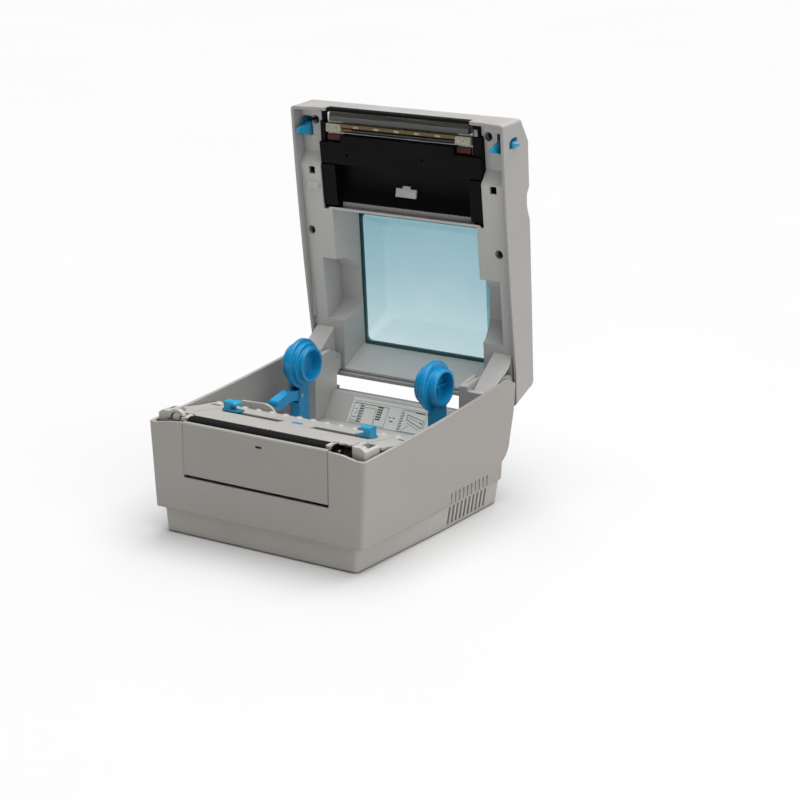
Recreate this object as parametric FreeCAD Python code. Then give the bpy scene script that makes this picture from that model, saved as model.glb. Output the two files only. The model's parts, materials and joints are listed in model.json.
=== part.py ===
import FreeCAD, Part
import math, os

V = FreeCAD.Vector
os.makedirs("parts", exist_ok=True)

# ---------------------------------------------------------------- dimensions
# Millimetres. X across the printer, Y from front to rear, Z up.
# Everything is laid out with y = 0 at the front of the base, and shifted by
# Y_SHIFT at the end so that the whole object is centred over the origin.
Y_SHIFT = -134.6

BASE_HALF_W = 96.5          # housing half width at its lower edge
BASE_DRAFT = 0.0511         # housing half width gained per mm of height
SHELL_BOTTOM = 20.5         # lower edge of the housing, top of the plinth
WALL = 3.0                  # housing wall
BASE_REAR = 217.8
TRAY_HALF_W = 89.2          # plinth half width at the table, front end
TRAY_REAR_W = 92.9          # the same behind FLARE_Y, where it runs flush with the housing
FLARE_Y = 118.0
TRAY_FRONT, TRAY_REAR = 3.0, 200.6
TRAY_BOTTOM = 1.0
LOUVRES, LOUVRE_PITCH, LOUVRE_Y0 = 10, 6.0, 124.0

HINGE_Y, HINGE_Z = 211.0, 96.0
OPEN_DEG = 86.3             # lid travel from open to closed
PIN_R, RUN = 2.0, 0.05      # hinge pin radius and running clearance

PANEL_HALF = 66.9           # front panel
PANEL_Z0, PANEL_Z1 = 51.3, 93.2
SLOT_Z0 = 48.8              # liner slot under the panel

PLATEN_Y, PLATEN_Z = 8.6, 89.2
PLATEN_R = 6.2
PLATEN_X0, PLATEN_X1 = -66.0, 61.0
SHAFT_R = 3.0
PLATE_X, PLATE_T = 62.0, 1.5   # steel side plates, the left one further out
LEFT_OUT = 5.0

GEAR_M = 0.6                # drive train module
N_PLATEN, N_IDLER, N_PINION = 20, 50, 14
GEAR_X0, GEAR_X1 = 67.0, 71.0
IDLER_DIR, MOTOR_DIR = -55.0, -60.0   # degrees in the YZ plane
MOTOR_SIDE, MOTOR_LEN = 35.0, 26.0

DECK_NOSE = (12.4, 95.2)    # front edge of the paper deck
DECK_GUIDE = (57.0, 87.6)
DECK_REAR = (75.6, 85.4)
DECK_T = 2.2

FLOOR_Z = 47.0              # media bay floor
SLOPE_TOP = (205.5, 68.0)   # rear slope of the media bay
SLOPE_FOOT = (190.5, 47.0)

HOLD_Y, HOLD_Z = 152.0, 104.8   # roll axis
HOLD_X = 62.0               # flange of a holder from the middle
HOLD_R = 20.5
RACK_M, RACK_N = 1.0, 12    # holder rack and pinion
GUIDE_M, GUIDE_N = 0.8, 12  # guide rack and pinion
GUIDE_Y = 57.0
SLOT_H = 1.8                # half width of a guide slot

LID_HALF_W = 99.5
LID_WALL = 2.5
RAIL_Z0, RAIL_SLOPE = 92.27, 0.0723   # lid rail plane, lid closed
WIN_TOP = 157.0             # top of the domed window, lid closed
POCKET = (154.5, 103.2, 27.0)
POCKET_XR = 87.0            # the right disc pocket is the deeper one
HEAD_DX = -2.6              # the print head sits left of the middle
BRK_L, BRK_R = -76.9, 75.0  # and so does its bracket


def rail(y):
    return RAIL_Z0 + RAIL_SLOPE * y


# ------------------------------------------------------------------- helpers
def box(x0, x1, y0, y1, z0, z1):
    return Part.makeBox(x1 - x0, y1 - y0, z1 - z0, V(x0, y0, z0))


def cx(x0, x1, y, z, r):
    return Part.makeCylinder(r, x1 - x0, V(x0, y, z), V(1, 0, 0))


def cy(y0, y1, x, z, r):
    return Part.makeCylinder(r, y1 - y0, V(x, y0, z), V(0, 1, 0))


def cz(z0, z1, x, y, r):
    return Part.makeCylinder(r, z1 - z0, V(x, y, z0), V(0, 0, 1))


def kx(x0, x1, y, z, r0, r1):
    return Part.makeCone(r0, r1, x1 - x0, V(x0, y, z), V(1, 0, 0))


def _wire(pts, P):
    edges, cur = [], pts[0]
    for it in list(pts[1:]) + [pts[0]]:
        if it[0] == 'a':
            edges.append(Part.Arc(P(cur), P(it[1]), P(it[2])).toShape())
            cur = it[2]
        else:
            if abs(it[0] - cur[0]) + abs(it[1] - cur[1]) > 1e-7:
                edges.append(Part.LineSegment(P(cur), P(it)).toShape())
            cur = it
    return Part.Wire(edges)


def prx(pts, x0, x1):
    return Part.Face(_wire(pts, lambda p: V(x0, p[0], p[1]))).extrude(V(x1 - x0, 0, 0))


def pry(pts, y0, y1):
    return Part.Face(_wire(pts, lambda p: V(p[0], y0, p[1]))).extrude(V(0, y1 - y0, 0))


def prz(pts, z0, z1):
    return Part.Face(_wire(pts, lambda p: V(p[0], p[1], z0))).extrude(V(0, 0, z1 - z0))


def rrect(x0, x1, y0, y1, r, z):
    k = r * (1 - math.sqrt(0.5))
    pts = [(x0 + r, y0), (x1 - r, y0), ('a', (x1 - k, y0 + k), (x1, y0 + r)),
           (x1, y1 - r), ('a', (x1 - k, y1 - k), (x1 - r, y1)),
           (x0 + r, y1), ('a', (x0 + k, y1 - k), (x0, y1 - r)),
           (x0, y0 + r), ('a', (x0 + k, y0 + k), (x0 + r, y0))]
    return _wire(pts, lambda p: V(p[0], p[1], z))


def flared(wf, wr, y0, y1, r, z):
    k = r * (1 - math.sqrt(0.5))
    pts = [(-wf + r, y0), (wf - r, y0), ('a', (wf - k, y0 + k), (wf, y0 + r)), (wr, FLARE_Y),
           (wr, y1 - r), ('a', (wr - k, y1 - k), (wr - r, y1)),
           (-wr + r, y1), ('a', (-wr + k, y1 - k), (-wr, y1 - r)), (-wr, FLARE_Y),
           (-wf, y0 + r), ('a', (-wf + k, y0 + k), (-wf + r, y0))]
    return _wire(pts, lambda p: V(p[0], p[1], z))


def rrprism(x0, x1, y0, y1, r, z0, z1):
    return Part.Face(rrect(x0, x1, y0, y1, r, z0)).extrude(V(0, 0, z1 - z0))


def loft(a, b):
    return Part.makeLoft([a, b], True, True)


def fuse(*s):
    s = [k for k in s if k is not None]
    out = s[0].fuse(list(s[1:])) if len(s) > 1 else s[0]
    return out.removeSplitter()


def cut(a, *b):
    return a.cut(list(b)).removeSplitter()


def mx(s):
    return s.mirror(V(0, 0, 0), V(1, 0, 0))


def both(s):
    return [s, mx(s)]


def group(*s):
    return Part.makeCompound(list(s))


def soften(shape, pick, r):
    """Round the edges that pick() accepts; keep the sharp body if one fails."""
    edges = [e for e in shape.Edges if pick(e)]
    try:
        out = shape.makeFillet(r, edges)
        if out.isValid() and len(out.Solids) == 1:
            return out
    except Exception:
        pass
    return shape


def biggest(shape):
    return max(shape.Solids, key=lambda s: s.Volume)


PA = math.radians(20)


def gear_outline(m, n, a0, back=0.10, add=0.9, ded=1.25, k=5):
    r = m * n / 2.0
    rb, ra, rf = r * math.cos(PA), r + add * m, r - ded * m
    inv = lambda t: math.tan(t) - t
    psi = math.pi / (2 * n) - back / (2 * r)

    def half(rho):
        t = math.acos(min(1.0, rb / rho))
        return psi + inv(PA) - inv(t)
    lo = max(rb, rf)
    radii = [lo + (ra - lo) * i / k for i in range(k + 1)]
    pts = []
    for j in range(n):
        c = a0 + 2 * math.pi * j / n
        if rf < rb:
            pts.append((rf, c - half(lo)))
        pts += [(q, c - half(q)) for q in radii]
        pts += [(q, c + half(q)) for q in reversed(radii)]
        if rf < rb:
            pts.append((rf, c + half(lo)))
    return [(q * math.cos(a), q * math.sin(a)) for q, a in pts]


def gear_x(m, n, y, z, a0, x0, x1):
    return prx([(y + p, z + q) for p, q in gear_outline(m, n, a0)], x0, x1)


def gear_z(m, n, x, y, a0, z0, z1):
    return prz([(x + p, y + q) for p, q in gear_outline(m, n, a0)], z0, z1)


def rack(m, xa, xb, teeth, pitch_y, side, body, z0, z1, back=0.10):
    """Rack along X; side = +1 when its teeth point to +Y."""
    p = math.pi * m
    add, ded = 0.9 * m, 1.25 * m
    half = (p / 2 - back) / 2
    root, tip = pitch_y - side * ded, pitch_y + side * add
    wr, wt = half + ded * math.tan(PA), half - add * math.tan(PA)
    pts = [(xa, root - side * body), (xb, root - side * body), (xb, root)]
    for i in sorted(teeth, reverse=True):
        c = i * p
        pts += [(c + wr, root), (c + wt, tip), (c - wt, tip), (c - wr, root)]
    pts += [(xa, root)]
    return prz(pts, z0, z1)


def coil(x, y, z0, z1, r, wire, turns):
    """Compression spring standing on (x, y, z0)."""
    h = z1 - z0 - wire
    pitch = h / turns
    path = Part.makeHelix(pitch, h, r)
    prof = Part.Wire([Part.makeCircle(wire / 2, V(r, 0, 0), V(0, 1, pitch / (2 * math.pi * r)))])
    s = Part.Wire(path.Edges).makePipeShell([prof], True, True)
    s = Part.Solid(s) if s.ShapeType != 'Solid' else s
    s.translate(V(x, y, z0 + wire / 2))
    return s


nodes = {}


def keep(name, shape, lid=False):
    s = shape.copy()
    if lid:
        s.rotate(V(0, HINGE_Y, HINGE_Z), V(1, 0, 0), -OPEN_DEG)
    s.translate(V(0, Y_SHIFT, 0))
    nodes[name] = s


def half_w(z):
    return BASE_HALF_W + BASE_DRAFT * (z - SHELL_BOTTOM)


# ==================================================================== base
# --- plinth tray: inset lower casing with louvres, bosses and board pillars
tray_out = loft(flared(TRAY_HALF_W, TRAY_REAR_W, TRAY_FRONT + 0.4, TRAY_REAR - 0.3, 4, TRAY_BOTTOM),
                flared(90.8, 95.9, TRAY_FRONT - 0.2, TRAY_REAR + 0.3, 4, SHELL_BOTTOM))
tray_in = loft(flared(TRAY_HALF_W - 2.4, TRAY_REAR_W - 2.4, TRAY_FRONT + 2.9, TRAY_REAR - 2.8, 2, TRAY_BOTTOM + 2.4),
               flared(88.4, 93.5, TRAY_FRONT + 2.3, TRAY_REAR - 2.2, 2, SHELL_BOTTOM + 0.01))
SCREW_AT = [(-78, 20), (78, 20), (-78, 185), (78, 185)]
FOOT_AT = [(-70, 26), (70, 26), (-70, 178), (70, 178)]
PILLAR_AT = [(-60, 102), (60, 102), (-60, 176), (60, 176)]
tray = cut(tray_out, tray_in)
tray = fuse(tray, *[cz(2.0, SHELL_BOTTOM, x, y, 5.0) for x, y in SCREW_AT],
            *[cz(2.0, 24.0, x, y, 3.5) for x, y in PILLAR_AT],
            *[box(x - 0.8, x + 0.8, 8, 196, 2.0, 7.0) for x in (-30, 30)])
holes = []
for x, y in SCREW_AT:
    holes += [cz(0, SHELL_BOTTOM + 1, x, y, 1.5), cz(0, 8.0, x, y, 3.2)]
holes += [cz(16.0, 25.0, x, y, 1.5) for x, y in PILLAR_AT]
holes += [cz(0, 2.0, x, y, 7.0) for x, y in FOOT_AT]
for i in range(LOUVRES):
    y = LOUVRE_Y0 + LOUVRE_PITCH * i
    for s in (-1, 1):
        holes.append(box(min(s * 88, s * 99), max(s * 88, s * 99), y - 1.4, y + 1.4, 3.6, 18.9))
tray = cut(tray, *holes)
keep("base_tray", tray)

# --- housing: drafted walls, top edge rising in a long arc to the rear
EDGE = [(-6, 88.6), (100, 93.9), (204.9, 103.2)]
prof_out = [(-6, SHELL_BOTTOM), EDGE[0], ('a', EDGE[1], EDGE[2]), (217.4, 96.6), (215.4, 75),
            (213.3, 62), (211.4, 51), ('a', (208.7, 41.5), (201, 35)), (201, SHELL_BOTTOM)]
prof_in = [(-6, SHELL_BOTTOM + 2.5), (-6, 130), (214.4, 130), (214.4, 97), (212.4, 75),
           (210.3, 62), (208.4, 51.5), ('a', (205.9, 43.8), (198, 38)), (198, SHELL_BOTTOM + 2.5)]
env = loft(rrect(-BASE_HALF_W, BASE_HALF_W, -0.3, BASE_REAR, 3, SHELL_BOTTOM),
           rrect(-half_w(108), half_w(108), -1.5, BASE_REAR, 3, 108))
outer = env.common(prx(prof_out, -120, 120))
env_in = loft(rrect(-BASE_HALF_W + WALL, BASE_HALF_W - WALL, 2.6, BASE_REAR - WALL, 1, SHELL_BOTTOM),
              rrect(-half_w(132) + WALL, half_w(132) - WALL, 1.2, BASE_REAR - WALL, 1, 132))
inner = env_in.common(prx(prof_in, -120, 120))
shell = outer.cut(inner)
shell = shell.cut(rrprism(-80, 80, 13, 192, 19, SHELL_BOTTOM - 1, SHELL_BOTTOM + 3))
# front opening for the panel and the liner slot
shell = shell.cut(box(-PANEL_HALF - 0.3, PANEL_HALF + 0.3, -6, 6, SLOT_Z0, 130))
# the rear wall is low between the hinge posts and notched behind the lugs
shell = shell.cut([box(-69.5, 69.5, 196, 225, 68, 130),
                   box(69.4, 97.2, 196, 225, 70.5, 130), box(-97.2, -69.4, 196, 225, 70.5, 130)])
# socket recess in the rear wall
recess = box(-60, 60, 199.2, 230, SHELL_BOTTOM + 2.5, 48.3)
housing = box(-62.5, 62.5, 196.7, 225, SHELL_BOTTOM + 2.0, 50.3).common(outer).cut(recess)
shell = shell.cut(recess).fuse(housing)
# short raised shoulders of the front wall on both sides of the panel
sh = pry([(PANEL_HALF + 0.3, 86), (PANEL_HALF + 0.3, 92.2), (80, 91.2), (91.5, 88.9), (91.5, 86)], -1.25, 1.6)
# rounded ears beside the hinge lugs
ear = fuse(prx([(199, 94), (199, 101.0), (203.5, 104.2), ('a', (209.2, 105.2), (213.6, 104.0)), (216.6, 100.2), (216.6, 94)], 95.75, 96.75),
           prx([(199, 94), (199, 100.2), (204, 102.2), (213, 98.0), (213, 94)], 95.75, 98.2))
shell = fuse(shell, *both(sh), *both(ear))
bosses = [cz(SHELL_BOTTOM + 1, 40, x, y, 4.2) for x, y in SCREW_AT]
shell = fuse(shell, *bosses)
holes = [cz(SHELL_BOTTOM - 1, 34, x, y, 1.5) for x, y in SCREW_AT]
for i in range(LOUVRES):
    y = LOUVRE_Y0 + LOUVRE_PITCH * i
    for s in (-1, 1):
        holes.append(box(min(s * 96.1, s * 100), max(s * 96.1, s * 100), y - 1.2, y + 1.2, SHELL_BOTTOM - 1, 30))
holes += [cx(95, 99.2, HINGE_Y, HINGE_Z, PIN_R), cx(-99.2, -95, HINGE_Y, HINGE_Z, PIN_R)]
# relief for the platen gear in the front wall
holes.append(box(65.8, 72.6, 0.9, 4.0, 81, 97))
# ports: data socket, power inlet, switch
holes += [box(-40.0, -28.0, 196, 200, 25.6, 36.4), box(-17.5, -8.5, 196, 200, 25.6, 36.6),
          box(21.5, 40.5, 196, 200, 31.6, 44.3)]
shell = cut(shell, *holes)
keep("base_shell", biggest(shell))

# --- front panel with rounded tear lip and sensor window
pan = prx([(-1.25, PANEL_Z0), (-1.35, PANEL_Z1 - 2.2), ('a', (-0.7, PANEL_Z1 - 0.5), (0.3, PANEL_Z1)),
           (1.5, PANEL_Z1), (1.5, PANEL_Z0 + 1.5), (0.8, PANEL_Z0)], -PANEL_HALF, PANEL_HALF)
tab = box(60, 71, 2.75, 4.2, 54, 66).fuse(box(60, 66, 1.4, 4.2, 54, 66))
pan = fuse(pan, *both(tab), box(-60, -58.5, 1.4, 4.0, 53, 78), box(58.5, 60, 1.4, 4.0, 53, 78))
SENS = (1.8, 7.4, 84.0, 85.6)
pan = cut(pan, box(SENS[0], SENS[1], -3, 3, SENS[2], SENS[3]))
keep("front_panel", pan)
keep("peel_sensor_lens", box(SENS[0], SENS[1], -0.7, 1.5, SENS[2], SENS[3]))

# --- steel side plates
pl = [(16, 3.4), (58, 3.4), (58, 60), (42, 74), (24, 84), (14.9, 92.4), (2.7, 92.4), (2.7, 70), (16, 62)]
MOT_D = GEAR_M * (N_IDLER + N_PINION) / 2 + 0.05
IDL_D = GEAR_M * (N_IDLER + N_PLATEN) / 2 + 0.05
IDLER_Y = PLATEN_Y + IDL_D * math.cos(math.radians(IDLER_DIR))
IDLER_Z = PLATEN_Z + IDL_D * math.sin(math.radians(IDLER_DIR))
MOTOR_Y = IDLER_Y + MOT_D * math.cos(math.radians(MOTOR_DIR))
MOTOR_Z = IDLER_Z + MOT_D * math.sin(math.radians(MOTOR_DIR))
plate = fuse(prx(pl, PLATE_X, PLATE_X + PLATE_T), box(52, PLATE_X, 18, 56, 3.4, 4.9))
slot = fuse(box(PLATE_X - 1, PLATE_X + 3, PLATEN_Y - 4, PLATEN_Y + 4, PLATEN_Z, 100),
            cx(PLATE_X - 1, PLATE_X + 3, PLATEN_Y, PLATEN_Z, 4.0))
plate = plate.cut(slot)
left_plate = mx(plate)
left_plate.translate(V(-LEFT_OUT, 0, 0))
MS = 13.0
right_plate = cut(plate, cx(PLATE_X - 1, PLATE_X + 3, MOTOR_Y, MOTOR_Z, 8.0),
                  cx(PLATE_X - 1, PLATE_X + 3, IDLER_Y, IDLER_Z, 2.0),
                  *[cx(PLATE_X - 1, PLATE_X + 3, MOTOR_Y + a * MS, MOTOR_Z + b * MS, 1.5)
                    for a in (-1, 1) for b in (-1, 1)])
keep("left_side_plate", left_plate)
keep("right_side_plate", right_plate)

# --- platen, its bushes and the drive train
keep("platen_shaft", fuse(cx(-72.6, 72.5, PLATEN_Y, PLATEN_Z, SHAFT_R)))
keep("platen_roller", cut(cx(PLATEN_X0, PLATEN_X1, PLATEN_Y, PLATEN_Z, PLATEN_R),
                          cx(PLATEN_X0 - 1, PLATEN_X1 + 1, PLATEN_Y, PLATEN_Z, SHAFT_R)))
bush = fuse(cx(61.4, 66.2, PLATEN_Y, PLATEN_Z, 4.0),
            box(61.4, 65.4, PLATEN_Y - 4, PLATEN_Y + 4, PLATEN_Z, 94.9),
            box(63.5, 66.2, PLATEN_Y - 5.4, PLATEN_Y + 5.4, PLATEN_Z - 5, 94.9))
bush = cut(bush, cx(60, 68, PLATEN_Y, PLATEN_Z, SHAFT_R + 0.04))
# moulding slits in the right bush, a longer hub on the left one
rbush = cut(bush, box(64.1, 64.5, 0, PLATEN_Y - 4.2, 86, 96), box(65.2, 65.6, 0, PLATEN_Y - 4.2, 86, 96),
            box(64.1, 64.5, 0, 20, 93.6, 96), box(65.2, 65.6, 0, 20, 93.6, 96))
lbush = mx(bush)
lbush.translate(V(-LEFT_OUT, 0, 0))
lbush = cut(fuse(lbush, cx(-73.6, -70.6, PLATEN_Y, PLATEN_Z, 4.4)), cx(-75, -60, PLATEN_Y, PLATEN_Z, SHAFT_R + 0.04))
keep("platen_bushes", group(rbush, lbush))
th1 = math.radians(IDLER_DIR)
th2 = math.radians(MOTOR_DIR)
pg = gear_x(GEAR_M, N_PLATEN, PLATEN_Y, PLATEN_Z, th1, GEAR_X0, GEAR_X1)
keep("platen_gear", cut(pg, cx(60, 80, PLATEN_Y, PLATEN_Z, SHAFT_R)))
a_idl = th1 + math.pi + math.pi / N_IDLER
ig = gear_x(GEAR_M, N_IDLER, IDLER_Y, IDLER_Z, a_idl, GEAR_X0 - 0.3, GEAR_X1 + 0.3)
ig = cut(ig, cx(60, 80, IDLER_Y, IDLER_Z, 2.0 + RUN),
         *[cx(60, 80, IDLER_Y + 8.6 * math.cos(k * math.pi / 3), IDLER_Z + 8.6 * math.sin(k * math.pi / 3), 2.6)
           for k in range(6)])
keep("idler_gear", ig)
keep("idler_axle", fuse(cx(PLATE_X, 72.0, IDLER_Y, IDLER_Z, 2.0), cx(PLATE_X + PLATE_T, 66.3, IDLER_Y, IDLER_Z, 2.5),
                        cx(71.7, 73.0, IDLER_Y, IDLER_Z, 3.2)))
pitch_i = 2 * math.pi / N_IDLER
delta = (a_idl - th2) % pitch_i
eps = -(GEAR_M * N_IDLER / 2) * delta / (GEAR_M * N_PINION / 2)
a_pin = th2 + math.pi + eps + math.pi / N_PINION
pn = gear_x(GEAR_M, N_PINION, MOTOR_Y, MOTOR_Z, a_pin, GEAR_X0 - 0.5, GEAR_X1 + 0.5)
keep("motor_pinion", cut(pn, cx(60, 80, MOTOR_Y, MOTOR_Z, 2.0)))
keep("motor_shaft", cx(40, 72.5, MOTOR_Y, MOTOR_Z, 2.0))
c = 5.0
h = MOTOR_SIDE / 2
mot = prx([(MOTOR_Y - h + c, MOTOR_Z - h), (MOTOR_Y + h - c, MOTOR_Z - h), (MOTOR_Y + h, MOTOR_Z - h + c),
           (MOTOR_Y + h, MOTOR_Z + h - c), (MOTOR_Y + h - c, MOTOR_Z + h), (MOTOR_Y - h + c, MOTOR_Z + h),
           (MOTOR_Y - h, MOTOR_Z + h - c), (MOTOR_Y - h, MOTOR_Z - h + c)], PLATE_X - MOTOR_LEN, PLATE_X)
waist = cut(box(PLATE_X - MOTOR_LEN + 7, PLATE_X - 7, MOTOR_Y - 30, MOTOR_Y + 30, MOTOR_Z - 30, MOTOR_Z + 30),
            cx(0, 80, MOTOR_Y, MOTOR_Z, 16.9))
mot = cut(mot, waist)
mot = fuse(mot, cx(PLATE_X - 1, PLATE_X + PLATE_T, MOTOR_Y, MOTOR_Z, 8.0))
mot = cut(mot, cx(39.5, 80, MOTOR_Y, MOTOR_Z, 2.0 + RUN),
          *[cx(PLATE_X - 6, PLATE_X + 1, MOTOR_Y + a * MS, MOTOR_Z + b * MS, 1.5) for a in (-1, 1) for b in (-1, 1)])
keep("stepper_motor", mot)
keep("motor_screws", group(*[fuse(cx(PLATE_X - 5, PLATE_X + PLATE_T + 0.5, MOTOR_Y + a * MS, MOTOR_Z + b * MS, 1.5),
                                  cx(PLATE_X + PLATE_T, PLATE_X + PLATE_T + 1.9, MOTOR_Y + a * MS, MOTOR_Z + b * MS, 2.3))
                             for a in (-1, 1) for b in (-1, 1)]))

# --- paper deck: sloped plate, guide slots, scalloped rear edge, rear skirt
n0, n1, n2 = DECK_NOSE, DECK_GUIDE, DECK_REAR
deck_prof = [(n0[0], n0[1] - 0.7), n0, n1, n2, (n2[0], n2[1] - DECK_T), (n1[0], n1[1] - DECK_T), (17.5, n0[1] - 3.0)]
deck = prx(deck_prof, -83.2, 83.2)
side_prof = [(25.6, 92.95), n1, n2, (n2[0], n2[1] - DECK_T), (n1[0], n1[1] - DECK_T), (25.6, 92.95 - DECK_T)]
deck = fuse(deck, prx(side_prof, 82, 96.2), prx(side_prof, -96.2, -82))
deck = deck.cut([box(61.2, 84, 0, 15.4, 80, 110), box(-84, -66.2, 0, 15.4, 80, 110), cz(90, 100, 4.7, 12.2, 1.8)])
# ragged-edged cover over the platen gear at the right
cover = fuse(prz([(66.9, 17.5), (66.9, 12.6), (69.0, 9.6), (72.2, 7.4), (75.4, 9.4), (79.0, 8.2), (83.0, 9.0), (83.0, 17.5)], 96.0, 97.3),
             prx([(15.4, 93.0), (17.4, 92.8), (17.4, 97.3), (15.4, 97.3)], 66.9, 83.0))
skirt = box(-94.6, 94.6, n2[0] - 0.4, n2[0] + 2.2, FLOOR_Z, n2[1] - 0.2)
bumps = [Part.makeSphere(5.0, V(-91 + 13 * i, n2[0] + 0.3, n2[1] - 3.7)).common(box(-100, 100, n2[0] - 3.0, n2[0] + 2.2, 60, 100))
         for i in range(15)]
legs = [prx([(30, 23), (74, 23), (74, 84), (57, 86.2), (30, 90.4)], s - 1, s + 1) for s in (-81, 81)]
hump = pry([(-72, 80), (-72, 88.6), (-70, 90.2), (-50, 90.9), ('a', (-42.6, 89.6), (-37.2, 84.5)), (-37.2, 80)],
           n2[0] + 1.9, n2[0] + 4.4)
deck = fuse(deck, cover, skirt, *bumps, *legs, hump)
cuts = [box(14.5, 68.5, GUIDE_Y - SLOT_H, GUIDE_Y + SLOT_H, 70, 100), box(-68.5, -14.5, GUIDE_Y - SLOT_H, GUIDE_Y + SLOT_H, 70, 100),
        box(83.2, 92.8, 66.4, 69.8, 80, 100), box(-92.8, -83.2, 66.4, 69.8, 80, 100)]
LENS_Y = 58.2
deck_z = lambda y: n1[1] + (y - n1[0]) * (-0.1704 if y < n1[0] else -0.1183)
seam = prx([(26, deck_z(26) - 0.35), (n1[0], n1[1] - 0.35), (74, deck_z(74) - 0.35), (74, 100), (26, 100)], 76.8, 77.3)
lead = prx([(GUIDE_Y - 7.5, deck_z(GUIDE_Y - 7.5)), (GUIDE_Y - SLOT_H + 0.2, deck_z(GUIDE_Y - SLOT_H + 0.2) - 1.2),
            (GUIDE_Y - SLOT_H + 0.2, 100), (GUIDE_Y - 7.5, 100)], 14.5, 68.5)
cuts += both(seam) + both(lead)
lens_cut = fuse(cz(70, 100, -4.6, LENS_Y, 2.6), cz(70, 100, 0.2, LENS_Y, 2.6), box(-4.6, 0.2, LENS_Y - 2.6, LENS_Y + 2.6, 70, 100))
deck = cut(deck, *cuts, lens_cut)
# stub axle of the guide pinion, hung from the underside
under = prx([(50, 60), (50, n1[1] - DECK_T + (GUIDE_Y - 50) * 0.1704), (GUIDE_Y, n1[1] - DECK_T),
             (64, n1[1] - DECK_T - 7 * 0.1183), (64, 60)], -6, 6)
stub = fuse(cz(76.2, 85.3, 0, GUIDE_Y, 1.6), cz(82.6, 85.3, 0, GUIDE_Y, 2.4)).common(under)
deck = fuse(deck, stub, box(-1.0, 1.0, GUIDE_Y + 0.75, GUIDE_Y + 6, 82.6, 85.15))
lens_body = prx([(LENS_Y - 3, deck_z(LENS_Y - 3) - 1.7), (LENS_Y - 3, deck_z(LENS_Y - 3) + 0.2), (n1[0], n1[1] + 0.2),
                 (LENS_Y + 3, deck_z(LENS_Y + 3) + 0.2), (LENS_Y + 3, deck_z(LENS_Y + 3) - 1.7), (n1[0], n1[1] - 1.7)], -8, 4)
keep("gap_sensor_lens", biggest(lens_cut.common(lens_body)))
keep("paper_deck", biggest(deck))

# --- latch keepers at the front corners
lk = fuse(rrprism(83.6, 95.8, 5.4, 25.4, 1.5, 70, 97.2), box(85, 93, 8, 24, SHELL_BOTTOM + 2.5, 71))
lk = lk.cut([prx([(20, 97.3), (27, 97.3), (27, 93.5)], 70, 99), pry([(91.5, 97.3), (97, 97.3), (97, 93.2)], 0, 30)])
lk = cut(lk, box(88.0, 93.8, 11.8, 23.8, 83.5, 100))
# the left keeper carries an arched guard with a round boss beside the roller's end
GD_X, GD_Z = -77.4, 91.2
guard = pry([(GD_X - 8.6, 86), (GD_X - 8.6, GD_Z), ('a', (GD_X, GD_Z + 8.6), (GD_X + 8.6, GD_Z)), (GD_X + 8.6, 86)], 4.6, 8.4)
guard = guard.cut(pry([(GD_X - 6.4, 80), (GD_X - 6.4, GD_Z), ('a', (GD_X, GD_Z + 6.4), (GD_X + 6.4, GD_Z)), (GD_X + 6.4, 80)], 4.0, 7.2))
boss = soften(cy(4.0, 8.2, GD_X + 0.6, GD_Z + 2.0, 4.1), lambda e: e.BoundBox.YMax < 4.01, 1.4)
guard = cut(fuse(guard, boss, box(-84.2, -82.6, 5.6, 8.4, 86, 95)), cx(-100, -60, PLATEN_Y, PLATEN_Z, 4.7), cx(-72.4, -60, PLATEN_Y, PLATEN_Z, 6.5), box(-74, -64, 0, 20, 80, 95.2))
keep("latch_keepers", group(lk, biggest(fuse(mx(lk), guard))))

# --- media well: bay floor with holder slots, rear slope, hinge posts
well = prx([(78.4, FLOOR_Z - 2.5), (191.8, FLOOR_Z - 2.5), (206.9, 65.5), (210.6, 65.5), (210.6, 68), SLOPE_TOP,
            SLOPE_FOOT, (78.4, FLOOR_Z)], -94.4, 94.4)
hp = fuse(prx([(179, 46), (179, 99.4), (187, 102.0), (199.5, 104.0), (209.5, 100.6), (214.6, 98.2), (216.3, 96.7), (216.3, 86), (210.6, 80.5), (210.6, 66), (206, 65), (192.5, 46)], 69.6, 73.6),
          prx([(179, 46), (179, 99.6), (184, 101.0), (196, 102.2), (208.5, 102.2), (214.5, 99.8), (216.5, 97.2), (216.3, 86), (210.6, 80.5), (210.6, 66), (206, 65), (192.5, 46)], 73.4, 77.2),
          box(69.6, 94.3, 179, 185.3, 46, 95.9))
well = fuse(well, *both(hp), cz(35.4, FLOOR_Z - 1, 0, HOLD_Y, 2.0))
well = cut(well, box(12, 70.6, HOLD_Y - 2.7, HOLD_Y + 2.7, 40, 50), box(-70.6, -12, HOLD_Y - 2.7, HOLD_Y + 2.7, 40, 50),
           cx(60, 80, HINGE_Y, HINGE_Z, PIN_R), cx(-80, -60, HINGE_Y, HINGE_Z, PIN_R))
keep("media_well", well)
sd = (SLOPE_TOP[0] - SLOPE_FOOT[0], SLOPE_TOP[1] - SLOPE_FOOT[1])
sl = math.hypot(*sd)
sd = (sd[0] / sl, sd[1] / sl)
on_slope = lambda t, o: (SLOPE_FOOT[0] + sd[0] * t - sd[1] * o, SLOPE_FOOT[1] + sd[1] * t + sd[0] * o)
LABEL = (-47.0, 44.0, 0.8, 23.6)
keep("loading_label", prx([on_slope(LABEL[2], 0), on_slope(LABEL[3], 0), on_slope(LABEL[3], 0.25), on_slope(LABEL[2], 0.25)],
                          LABEL[0], LABEL[1]))
pin = cx(69.8, 99.2, HINGE_Y, HINGE_Z, PIN_R)
keep("hinge_pins", group(pin, mx(pin)))

# --- feet, screws, board and sockets
ft = soften(cz(0, 2.0, 0, 0, 7.0), lambda e: e.BoundBox.ZMax < 0.01, 0.7)
feet = []
for x, y in FOOT_AT:
    f = ft.copy()
    f.translate(V(x, y, 0))
    feet.append(f)
keep("rubber_feet", group(*feet))


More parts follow.
